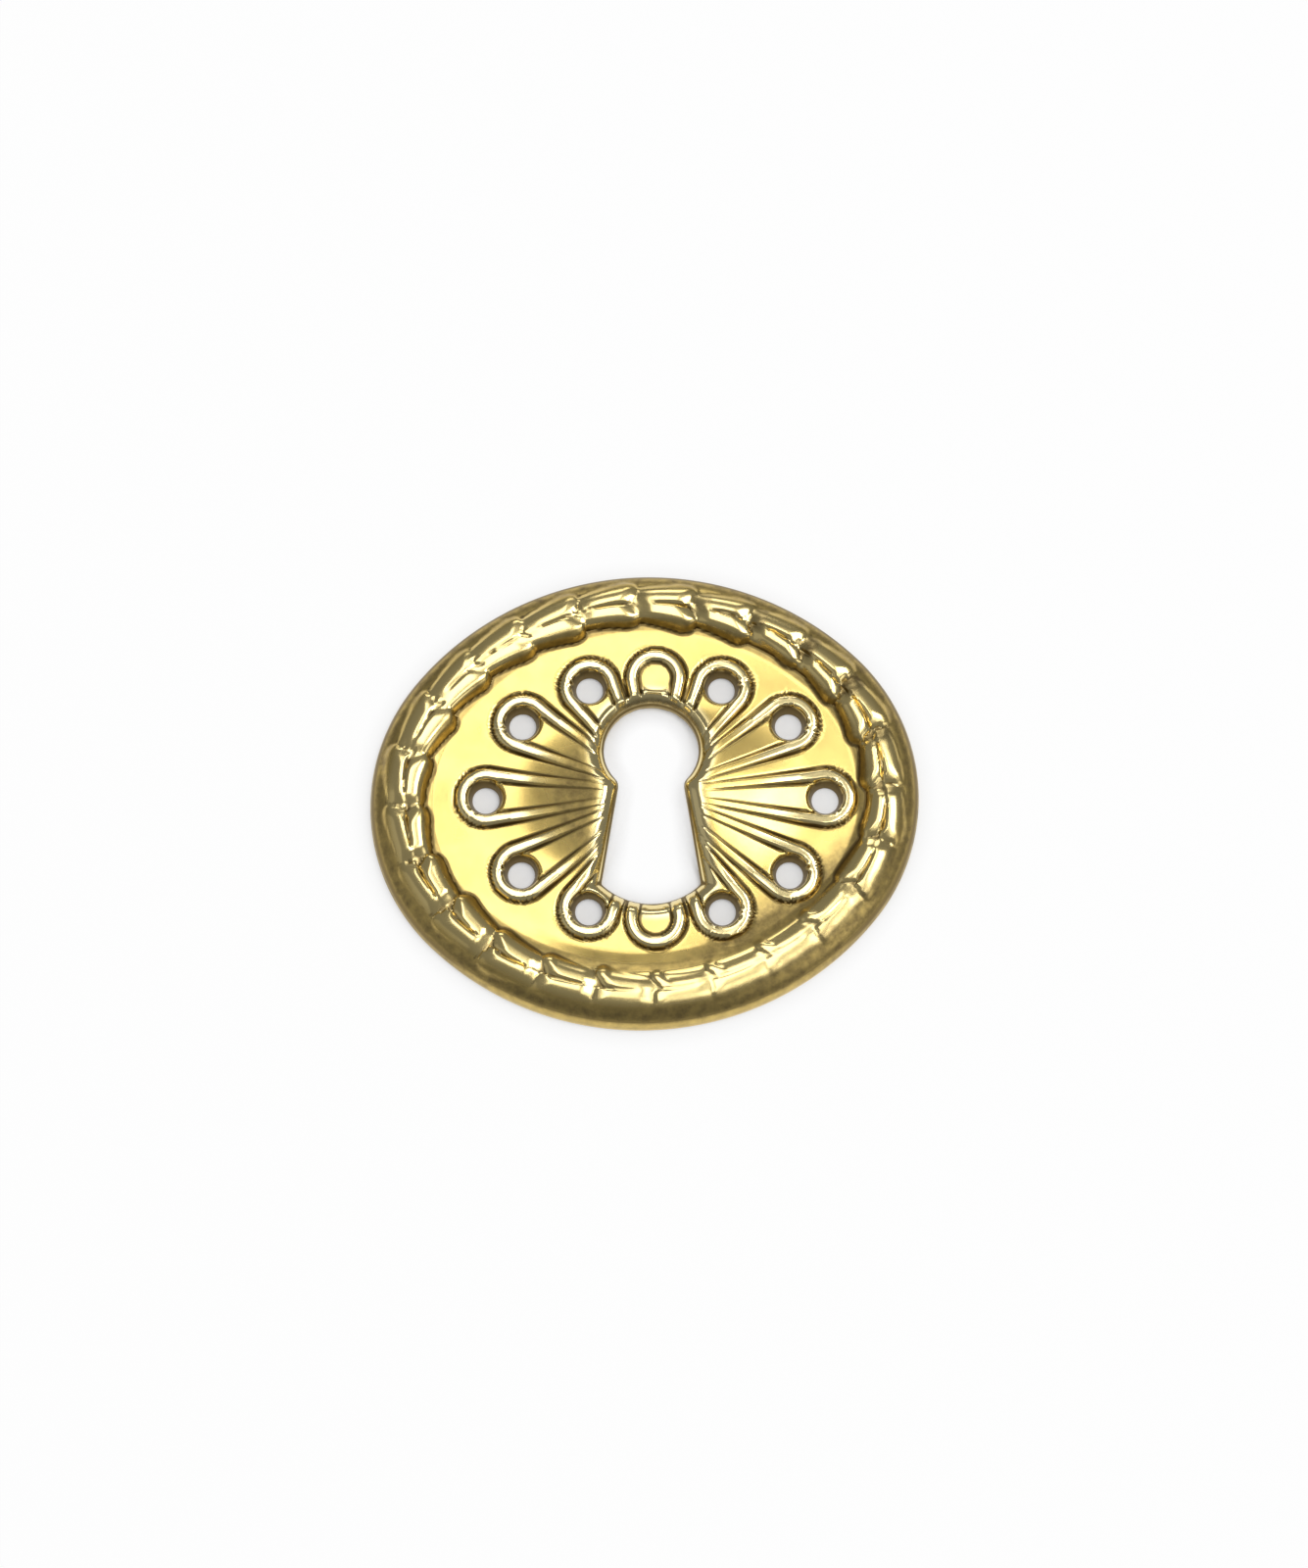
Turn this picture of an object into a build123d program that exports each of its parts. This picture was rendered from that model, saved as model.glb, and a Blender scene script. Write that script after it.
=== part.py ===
"""Keyhole escutcheon: an oval brass plate pressed from one sheet, with a leaf
wreath round its rim and a fluted rosette rising to the keyhole.

Units are mm. The origin is the middle of the oval on the back plane, +X runs
across the keyhole, +Y to its round end and +Z out of the face. The oval's long
axis is turned a little from +X. The plate lies on the ring of its rim.
"""

import os
from math import asin, atan2, cos, degrees, hypot, radians, sin

from build123d import *

# sheet and outline
PLATE_W = 38.0  # across the long axis
PLATE_H = 32.5  # across the short axis
END_R = 14.0  # radius of the oval's two ends
OVAL_TURN = 3.8  # degrees by which the oval is turned against the keyhole
SHEET = 0.5  # thickness of the pressed sheet

# rim, measured inward from the outline and up from the back plane
EDGE_H = 0.4  # height of the trimmed edge
SHOULDER_IN = 0.8  # top of the outer wall
CREST_IN = 2.4  # line between the two leaves of a pair
INNER_IN = 3.8  # top of the inner wall
FOOT_IN = 4.2  # foot of the inner wall on the field
CREST_H = 1.75  # level at which the leaves of a pair meet
BAND_H = 1.55  # flat band under the leaves
FIELD_H = 1.1  # flat field inside the wreath
FIELD_LAP = 0.8  # how far the swept rim laps into the field

# wreath: pairs of leaves, each pair lying over the root of the next
LEAF_PAIRS = 24
LEAF_PHASE = 0.1  # where the first pair ends, in pairs from the top
LEAF_L = 4.7  # from the root to the tip
LEAF_ROOT_W = 1.0  # width at the root
LEAF_W = 1.56  # width where it is widest
LEAF_POINT = 1.15  # from there to the tip
LEAF_SKEW = 0.25  # the tip turns this far off the crest line
LEAF_BACK_R = 1.2  # radius of the rounded back
LEAF_H = 0.5  # height of the back over the crest line's level, where widest
LEAF_PITCH = 7.0  # degrees by which a leaf climbs to its tip
LEAF_SPLAY = 3.0  # degrees by which a pair opens
LEAF_ROLL = 11.0  # degrees by which a leaf leans off the crest
LEAF_SIDE = 0.66  # the leaf's middle from the crest line

# rosette
ROSETTE_X = 0.75  # the rosette stands this far off the oval's middle
PETALS = 12
PETAL_A, PETAL_B = 11.75, 8.65  # half axes of the oval on which the pin holes lie
PETAL_R = 1.64  # from the pin hole's middle to the crest of the bead
BEAD_FOOT, BEAD_TOP, BEAD_H = 0.76, 0.26, 0.36  # the bead's widths and height
BEAD_SINK = 0.2  # how deep the bead's foot runs into the plate
FLUTE_RISE = 6.0  # degrees by which the flutes climb to the keyhole
FLUTE_END = 1.8  # the flutes stop this far from the rosette's middle
FLUTE_TAPER = 0.45  # their size there, as a share of the bead's
PIN_R = 1.05

# dome under the flutes
DOME_A, DOME_B = 9.9, 7.4  # half axes of its foot
DOME_H = 1.1
DOME_TOP = 0.2  # its flat top, as a share of its foot

# keyhole
KEY_X = 0.45  # the keyhole stands this far off the oval's middle
KEY_R = 3.3  # round end
KEY_Y = 3.46  # middle of the round end above the rosette's middle
KEY_WAIST = 4.7  # narrowest width
KEY_WAIST_Y = 0.3
KEY_NECK_R = 0.9  # rounding between the round end and the waist
KEY_FOOT = 6.9  # width at the foot
KEY_FOOT_Y = -6.0
KEY_DIP = 1.4  # the foot bows down by this much
LIP_Z = 1.5  # the rolled lip starts here
LIP_H = 0.9  # and the flare ends this far above
LIP_ANGLE = 38  # degrees off the punch's axis

HALF_W, HALF_H = PLATE_W / 2, PLATE_H / 2
SIDE_R = ((HALF_W - END_R) ** 2 + HALF_H**2 - END_R**2) / (2 * (HALF_H - END_R))
END_ANGLE = degrees(atan2(SIDE_R - HALF_H, HALF_W - END_R))
BACK_H = FIELD_H - SHEET
LAP_IN = FOOT_IN + FIELD_LAP
CUT = 6.0  # cutters run this far past the plate


def oval(inset: float) -> None:
    """Draws the outline, or a line inset inside it, as tangent arcs from the right-hand end."""
    end_x, side_y = HALF_W - END_R, SIDE_R - HALF_H
    CenterArc((end_x, 0), END_R - inset, 0, END_ANGLE)
    CenterArc((0, -side_y), SIDE_R - inset, END_ANGLE, 180 - 2 * END_ANGLE)
    CenterArc((-end_x, 0), END_R - inset, 180 - END_ANGLE, 2 * END_ANGLE)
    CenterArc((0, side_y), SIDE_R - inset, 180 + END_ANGLE, 180 - 2 * END_ANGLE)
    CenterArc((end_x, 0), END_R - inset, -END_ANGLE, END_ANGLE)


def oval_radius(half_x: float, half_y: float, angle: float) -> float:
    """Distance from an ellipse's middle to its edge, in the direction of angle in degrees."""
    c, s = cos(radians(angle)), sin(radians(angle))
    return half_x * half_y / hypot(half_y * c, half_x * s)


def dome_corners(share: float) -> list[tuple[float, float]]:
    """Corners of the dome's section, between the petals, at a share of its half axes."""
    angles = [(petal + 0.5) * 360 / PETALS for petal in range(PETALS)]
    reaches = [oval_radius(DOME_A * share, DOME_B * share, angle) for angle in angles]
    return [(ROSETTE_X + r * cos(radians(a)), r * sin(radians(a))) for a, r in zip(angles, reaches)]


def bead_section(size: float) -> None:
    """Draws a petal bead's section at a share of its full size: x is up and y across."""
    crown, flank = size * BEAD_TOP / 2, (BEAD_FOOT - BEAD_TOP) / (2 * BEAD_H)
    top = size * BEAD_H
    foot = crown + flank * (top + BEAD_SINK)
    Polygon((-BEAD_SINK, -foot), (top, -crown), (top, crown), (-BEAD_SINK, foot), align=None)


# the plate's outline and the crest line, from the right-hand end
oval_plane = Plane.XY.rotated((0, 0, OVAL_TURN))
with BuildLine(oval_plane) as outline:
    oval(0)
with BuildLine(oval_plane.offset(CREST_H)) as crest:
    oval(CREST_IN)
outline_path, crest_path = outline.wires()[0], crest.wires()[0]
crest_start = crest_path.param_at_point(oval_plane.from_local_coords((HALF_W - CREST_IN, 0, CREST_H)))

# the rim's section: x runs inward from the outline and y up
way = outline_path % 0
section = Plane(origin=outline_path @ 0, x_dir=Vector(0, 0, 1).cross(way), z_dir=way)
with BuildSketch(section) as rim_face:
    with BuildLine():
        Polyline(
            (0, 0),
            (0, EDGE_H),
            (SHOULDER_IN, BAND_H),
            (INNER_IN, BAND_H),
            (FOOT_IN, FIELD_H),
            (LAP_IN, FIELD_H),
            (LAP_IN, 0),
            close=True,
        )
    make_face()
with BuildSketch(section) as rim_hollow:
    with BuildLine():
        Polyline(
            (SHEET, -CUT),
            (SHEET, 0),
            (SHOULDER_IN + SHEET, CREST_H - SHEET),
            (INNER_IN - SHEET, CREST_H - SHEET),
            (FOOT_IN - SHEET, BACK_H),
            (LAP_IN, BACK_H),
            (LAP_IN, -CUT),
            close=True,
        )
    make_face()

# an outer leaf: its tip at the origin, its root back along -X, rounded across its back
with BuildPart() as outer_leaf:
    with BuildSketch():
        Polygon(
            (-LEAF_L, LEAF_ROOT_W / 2),
            (-LEAF_L, -LEAF_ROOT_W / 2),
            (-LEAF_POINT, -LEAF_W / 2),
            (0, LEAF_SKEW),
            (-LEAF_POINT, LEAF_W / 2),
            align=None,
        )
    extrude(amount=2 * LEAF_BACK_R, both=True)
    with Locations(Location((-LEAF_POINT, 0, LEAF_H - LEAF_BACK_R), (0, 90 - LEAF_PITCH, 0))):
        Cylinder(LEAF_BACK_R, 4 * LEAF_L, mode=Mode.INTERSECT)

# its fellow on the inner side
with BuildPart() as inner_leaf:
    mirror(outer_leaf.part, about=Plane.XZ)

# where they sit, clockwise from the top
outer_places, inner_places = [], []
for pair in range(LEAF_PAIRS):
    share = (crest_start + 0.25 - (pair + LEAF_PHASE) / LEAF_PAIRS) % 1
    place = Plane(origin=crest_path @ share, x_dir=(crest_path % share) * -1, z_dir=(0, 0, 1)).location
    for side, places in ((1, outer_places), (-1, inner_places)):
        lean = Location((0, 0, 0), (-side * LEAF_ROLL, 0, 0))
        places.append(place * lean * Location((0, side * LEAF_SIDE, 0), (0, 0, side * LEAF_SPLAY)))

# the keyhole's outline
with BuildSketch() as keyhole:
    with BuildLine():
        foot = ThreePointArc(
            (KEY_X - KEY_FOOT / 2, KEY_FOOT_Y),
            (KEY_X, KEY_FOOT_Y - KEY_DIP),
            (KEY_X + KEY_FOOT / 2, KEY_FOOT_Y),
        )
        Polyline(
            foot @ 1,
            (KEY_X + KEY_WAIST / 2, KEY_WAIST_Y),
            (KEY_X + KEY_WAIST / 2, KEY_Y),
            (KEY_X - KEY_WAIST / 2, KEY_Y),
            (KEY_X - KEY_WAIST / 2, KEY_WAIST_Y),
            foot @ 0,
        )
    make_face()
    with Locations((KEY_X, KEY_Y)):
        Circle(KEY_R)
    necks = keyhole.vertices().filter_by(lambda v: KEY_WAIST_Y < v.Y < KEY_Y)
    fillet(necks, KEY_NECK_R)

# the keyhole's punch: straight up to the lip, then flaring to roll the lip over
with BuildPart() as punch:
    with BuildSketch(Plane.XY.offset(-CUT)):
        add(keyhole.sketch)
    extrude(amount=CUT + LIP_Z)
    with BuildSketch(Plane.XY.offset(LIP_Z)):
        add(keyhole.sketch)
    extrude(amount=LIP_H, taper=-LIP_ANGLE)

# petals: a bead round each pin hole, its two ends tapering up to the keyhole as flutes
pin_holes = []
with BuildPart() as rosette:
    for petal in range(PETALS):
        angle = 360 * petal / PETALS
        reach = oval_radius(PETAL_A, PETAL_B, angle)
        outward = Vector(1, 0, 0).rotate(Axis.Z, angle)
        middle = Vector(ROSETTE_X, 0, FIELD_H) + outward * reach
        across = Vector(0, 0, 1).cross(outward)
        climb = (outward * -1).rotate(Axis((0, 0, 0), across), FLUTE_RISE)
        frame = Plane(origin=middle, x_dir=climb, z_dir=across.cross(climb))
        if abs(outward.X) > 0.1:
            pin_holes.append((middle.X, middle.Y))
        taper = degrees(asin(PETAL_R / reach))
        with BuildLine(frame) as bend:
            CenterArc((0, 0), PETAL_R, 90 - taper, 180 + 2 * taper)
        with BuildSketch(Plane(origin=bend.line @ 0, x_dir=frame.z_dir, z_dir=bend.line % 0)) as bead:
            bead_section(1)
        sweep(bead.sketch, path=bend.line)
        keyhole_end = frame.from_local_coords(Vector(reach, 0, 0))
        for root, way in ((bend.line @ 0, bend.line % 0), (bend.line @ 1, (bend.line % 1) * -1)):
            tip = keyhole_end + way * FLUTE_END
            with BuildSketch(Plane(origin=root, x_dir=frame.z_dir, z_dir=way)) as wide:
                bead_section(1)
            with BuildSketch(Plane(origin=tip, x_dir=frame.z_dir, z_dir=way)) as narrow:
                bead_section(FLUTE_TAPER)
            loft([wide.sketch, narrow.sketch], ruled=True)

# dome under the flutes, one facet to a petal, cut down to its flat top
with BuildPart() as dome:
    with BuildSketch(Plane.XY.offset(FIELD_H)):
        Polygon(*dome_corners(1), align=None)
    extrude(amount=DOME_H)
    rim_corners, top_corners = dome_corners(1), dome_corners(DOME_TOP)
    for corner in range(PETALS):
        foot = Vector(*rim_corners[corner - 1], FIELD_H)
        along = Vector(*rim_corners[corner], FIELD_H) - foot
        climb = Vector(*top_corners[corner], FIELD_H + DOME_H) - foot
        split(bisect_by=Plane(origin=foot, x_dir=along, z_dir=along.cross(climb)), keep=Keep.BOTTOM)

# what the press leaves open at the back
with BuildPart() as hollow:
    sweep(rim_hollow.sketch, path=outline_path)
    with BuildSketch(oval_plane.offset(BACK_H)):
        with BuildLine():
            oval(FOOT_IN)
        make_face()
    extrude(amount=-CUT)
    add(Location((0, 0, -SHEET)) * dome.part)

with BuildPart() as plate:
    # rim and field, filled
    sweep(rim_face.sketch, path=outline_path)
    with BuildSketch(oval_plane):
        with BuildLine():
            oval(FOOT_IN + FIELD_LAP / 2)
        make_face()
    extrude(amount=FIELD_H)
    # ornament
    add(dome.part)
    add(rosette.part)
    with Locations(outer_places):
        add(outer_leaf.part)
    with Locations(inner_places):
        add(inner_leaf.part)
    # hollow back, keyhole, pin holes
    add(hollow.part, mode=Mode.SUBTRACT)
    add(punch.part, mode=Mode.SUBTRACT)
    with BuildSketch():
        with Locations(pin_holes):
            Circle(PIN_R)
    extrude(amount=CUT, mode=Mode.SUBTRACT)

plate.part.label = "escutcheon_plate"
os.makedirs("parts", exist_ok=True)
export_step(plate.part, "parts/escutcheon_plate.step")
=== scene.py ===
"""Dresses the keyhole escutcheon: the pressed relief of its face and back, its brass, and a studio.

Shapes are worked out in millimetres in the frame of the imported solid, +X across the keyhole, +Y to
its round end and +Z out of the face, and turned to metres where a mesh is made.
"""

import logging
from dataclasses import dataclass, field
from enum import Enum

import bpy
import numpy as np
from mathutils import Matrix, Vector


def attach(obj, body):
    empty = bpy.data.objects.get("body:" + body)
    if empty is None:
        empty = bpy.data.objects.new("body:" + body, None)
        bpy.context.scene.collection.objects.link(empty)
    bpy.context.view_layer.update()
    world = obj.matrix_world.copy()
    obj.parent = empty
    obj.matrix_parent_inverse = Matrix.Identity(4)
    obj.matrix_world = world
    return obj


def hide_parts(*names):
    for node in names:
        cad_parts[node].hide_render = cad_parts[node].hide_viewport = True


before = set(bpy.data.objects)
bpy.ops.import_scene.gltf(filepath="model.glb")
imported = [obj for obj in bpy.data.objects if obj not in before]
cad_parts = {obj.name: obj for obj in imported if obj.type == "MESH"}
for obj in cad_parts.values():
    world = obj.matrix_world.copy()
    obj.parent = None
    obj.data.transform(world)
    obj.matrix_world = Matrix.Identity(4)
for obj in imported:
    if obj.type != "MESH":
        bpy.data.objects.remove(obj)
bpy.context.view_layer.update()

LOG = logging.getLogger("escutcheon")
MM = 0.001
Array = np.ndarray
Range = tuple[float, float]
Span = tuple[Range, Range]
Tree = bpy.types.NodeTree
Socket = bpy.types.NodeSocket
Value = float | tuple | Socket


def rise(x: Array, low: float, high: float) -> Array:
    """Smooth step from 0 at low to 1 at high: 3q squared less 2q cubed of the share q between them."""
    q = np.clip((x - low) / (high - low), 0.0, 1.0)
    return q * q * (3.0 - 2.0 * q)


def between(x: Array, span: Span) -> Array:
    """Smooth step up over a span's first range and down again over its second."""
    return rise(x, *span[0]) * (1.0 - rise(x, *span[1]))


def bell(x: Array, width: Array | float) -> Array:
    """Bell curve: e to the power of minus the square of x over width."""
    return np.exp(-((x / width) ** 2))


def over(a: Array, b: Array, soft: float) -> Array:
    """Larger of two heights, blended over soft, which adds a quarter of soft where they are equal."""
    h = np.clip(0.5 + 0.5 * (a - b) / soft, 0.0, 1.0)
    return b + (a - b) * h + soft * h * (1.0 - h)


def left(fade: Range, worn: Array, weak: Array) -> Array:
    """What is left of a detail where rubbing and a weak strike take away the two shares in fade."""
    return (1.0 - fade[0] * worn) * (1.0 - fade[1] * weak)


def oval_reach(half_x: float, half_y: float, angle: Array) -> Array:
    """Distance from an ellipse's middle to its edge: its half axes' product over their mean at angle."""
    return half_x * half_y / np.hypot(half_y * np.cos(angle), half_x * np.sin(angle))


class Side(Enum):
    """The two leaves of a pair, by the way they lean off the crest."""

    OUTER = 1.0
    INNER = -1.0


@dataclass(frozen=True)
class Sector:
    """A stretch of the way round the oval, by its direction in degrees and its spread in radians."""

    at: float
    spread: float
    strength: float = 1.0
    power: int = 2

    def share(self, angle: Array) -> Array:
        """Strength in each direction, by a bell curve of the angle off the strongest one."""
        off = np.mod(angle - np.radians(self.at) + np.pi, 2 * np.pi) - np.pi
        return self.strength * np.exp(-((off / self.spread) ** self.power))


@dataclass(frozen=True)
class Oval:
    """Outline of four tangent arcs, turned a little against the keyhole."""

    width: float = 38.0
    height: float = 32.5
    end_r: float = 14.0
    turn: float = np.radians(3.8)

    @property
    def side_r(self) -> float:
        """Radius of the two long arcs, which makes them tangent to the ends."""
        across, up = self.width / 2 - self.end_r, self.height / 2
        return (across**2 + up**2 - self.end_r**2) / (2 * (up - self.end_r))

    @property
    def centres(self) -> tuple[float, float]:
        """Distance of the end arcs' and of the long arcs' middles from the oval's own."""
        return self.width / 2 - self.end_r, self.side_r - self.height / 2

    @property
    def end_angle(self) -> float:
        """Direction of the outline's normal where an end arc meets a long one."""
        end_x, side_y = self.centres
        return float(np.arctan2(side_y, end_x))

    def point(self, angle: Array, inset: Array) -> Array:
        """Point by the direction of the outline's normal and the distance in from the outline.

        Each arc keeps its middle, and an inset only shortens its radius.

        Args:
            angle: Direction of the normal in radians, before the oval's turn.
            inset: Distance inward.

        Returns:
            The points, with x and y in the last axis.
        """
        c, s = np.cos(angle), np.sin(angle)
        end_x, side_y = self.centres
        at_end = np.abs(c) > np.cos(self.end_angle)
        r = np.where(at_end, self.end_r, self.side_r) - inset
        x = np.where(at_end, np.sign(c) * end_x, 0.0) + r * c
        y = np.where(at_end, 0.0, -np.sign(s) * side_y) + r * s
        tc, ts = np.cos(self.turn), np.sin(self.turn)
        return np.stack([x * tc - y * ts, x * ts + y * tc], axis=-1)

    def locate(self, x: Array, y: Array) -> tuple[Array, Array]:
        """Direction of the normal and the inset of each point, the other way round from point().

        Args:
            x: Across the keyhole.
            y: Along the keyhole.

        Returns:
            The directions in radians and the insets.
        """
        tc, ts = np.cos(self.turn), np.sin(self.turn)
        u, v = x * tc + y * ts, y * tc - x * ts
        end_x, side_y = self.centres
        past, up = np.abs(u) - end_x, np.abs(v)
        at_end = past * np.sin(self.end_angle) >= up * np.cos(self.end_angle)
        dx = np.where(at_end, past, np.abs(u))
        dy = np.where(at_end, up, up + side_y)
        inset = np.where(at_end, self.end_r, self.side_r) - np.hypot(dx, dy)
        return np.arctan2(np.copysign(dy, v), np.copysign(dx, u)), inset

    def lengths(self, inset: float) -> tuple[Array, Array]:
        """Runs along an inset line, arc by arc.

        Args:
            inset: Distance of the line in from the outline.

        Returns:
            The directions at the arcs' ends, and the run up to each of them.
        """
        e = self.end_angle
        stops = np.array([0.0, e, np.pi - e, np.pi + e, 2 * np.pi - e, 2 * np.pi])
        radii = np.array([self.end_r, self.side_r, self.end_r, self.side_r, self.end_r]) - inset
        return stops, np.concatenate([[0.0], np.cumsum(radii * np.diff(stops))])

    def run(self, angle: Array, inset: float) -> Array:
        """Share of the way round an inset line at which its normal points to angle."""
        stops, runs = self.lengths(inset)
        return np.interp(np.mod(angle, 2 * np.pi), stops, runs) / runs[-1]

    def spread(self, count: int, inset: float) -> Array:
        """Directions of count points spaced evenly along an inset line."""
        stops, runs = self.lengths(inset)
        return np.interp(np.arange(count) / count * runs[-1], runs, stops)


@dataclass(frozen=True)
class Keyhole:
    """Punched keyhole: a round end, a waist and a foot with a bowed bottom, with its edge rolled down."""

    middle: float = 0.45
    r: float = 3.3
    round_y: float = 3.46
    waist: float = 4.7
    waist_y: float = 0.3
    neck: float = 0.35
    foot: float = 6.9
    foot_y: float = -6.0
    dip: float = 1.4
    corner: float = 0.12
    crown: float = 1.8
    crown_less: float = 0.8
    crown_deep: float = 0.1
    roll: float = 0.95
    roll_less: float = 0.3
    roll_deep: float = 0.6
    ridge: float = 0.1
    ridge_out: float = 0.66
    ridge_w: float = 0.15

    def gap(self, x: Array, y: Array) -> Array:
        """Distance outside the keyhole: the lesser of that to the round end and to the foot.

        The foot is bounded by two slanted lines and by the arc of its bottom.

        Args:
            x: Across the keyhole.
            y: Along the keyhole.

        Returns:
            The distances, negative inside.
        """
        u = np.abs(x - self.middle)
        lean = (self.foot - self.waist) / 2 / (self.waist_y - self.foot_y)
        sides = (u - self.waist / 2 - lean * (self.waist_y - y)) / np.hypot(1.0, lean)
        bow = ((self.foot / 2) ** 2 + self.dip**2) / (2 * self.dip)
        bottom = np.hypot(u, y - (self.foot_y - self.dip + bow)) - bow
        foot = over(np.maximum(sides, y - self.round_y), bottom, self.corner)
        top = np.hypot(u, y - self.round_y) - self.r
        return -over(-foot, -top, self.neck)

    def reach(self, angle: Array, start: float) -> Array:
        """Distance from a point on the X axis to the keyhole's edge, by halving along each ray.

        Args:
            angle: Directions of the rays in radians.
            start: Where on the X axis the rays start.

        Returns:
            The distances.
        """
        c, s = np.cos(angle), np.sin(angle)
        low, high = [np.full_like(angle, limit) for limit in (1.0, 9.0)]
        for _ in range(40):
            mid = (low + high) / 2
            inside = self.gap(start + mid * c, mid * s) < 0
            low, high = np.where(inside, mid, low), np.where(inside, high, mid)
        return (low + high) / 2

    def lip(self, x: Array, y: Array) -> Array:
        """Height that the rolled edge adds: the sheet levels off in a parabola, then falls to the edge.

        Along the top both are narrower, and a thin roll stands up before the fall.

        Args:
            x: Across the keyhole.
            y: Along the keyhole.

        Returns:
            The height added, which is mostly negative.
        """
        gap = np.maximum(self.gap(x, y), 0.0)
        top = np.clip((y - self.round_y) / self.r, 0.0, 1.0)
        level = np.clip(self.crown - self.crown_less * top - gap, 0.0, None) ** 2 * self.crown_deep
        fall = self.roll_deep * np.clip(1.0 - gap / (self.roll - self.roll_less * top), 0.0, 1.0) ** 2
        ridge = self.ridge * rise(top, 0.2, 0.6) * bell(gap - self.ridge_out, self.ridge_w)
        return ridge - level - fall


@dataclass(frozen=True)
class Rim:
    """Section of the rim inside the outline: a convex outer wall, a crest and a rounded inner step."""

    edge: float = 0.36
    crest: float = 1.7
    field: float = 1.1
    crest_in: float = 2.4
    foot_in: float = 3.6
    land: float = 0.5
    sheet: float = 0.5
    back_wall: float = 1.1
    back_more: float = 0.1
    back_step: Range = (2.6, 3.8)

    def face(self, inset: Array) -> Array:
        """Height of the face: a full quarter round up to the crest and a quarter ellipse down to the field.

        Args:
            inset: Distance in from the outline.

        Returns:
            The heights.
        """
        q = np.clip(1.0 - inset / self.crest_in, 0.0, 1.0)
        wall = self.edge + (self.crest - self.edge) * (1.0 - q**3.0) ** 0.62
        p = np.clip((inset - self.crest_in) / (self.foot_in - self.crest_in), 0.0, 1.0)
        step = self.field + (self.crest - self.field) * np.sqrt(1.0 - p**5)
        return np.where(inset < self.crest_in, wall, step)

    def back(self, inset: Array) -> Array:
        """Height of the back: flat on the land, then a soft hollow under the rim and the field.

        Args:
            inset: Distance in from the outline.

        Returns:
            The heights.
        """
        inner = rise(inset, *self.back_step)
        under_rim, under_field = self.crest - self.sheet + self.back_more, self.field - self.sheet
        hollow = under_rim * (1 - inner) + under_field * inner
        q = np.clip(1.0 - (inset - self.land) / self.back_wall, 0.0, 1.0)
        return hollow * np.sqrt(1.0 - q * q)


@dataclass(frozen=True)
class LeafShape:
    """Tip and section of a leaf: half width of the tip, cut of its end, and the powers of the section."""

    tip: float
    notch: float
    power: float
    full: float
    power_worn: float = 0.0
    power_weak: float = 0.0
    full_worn: float = 0.0


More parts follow.
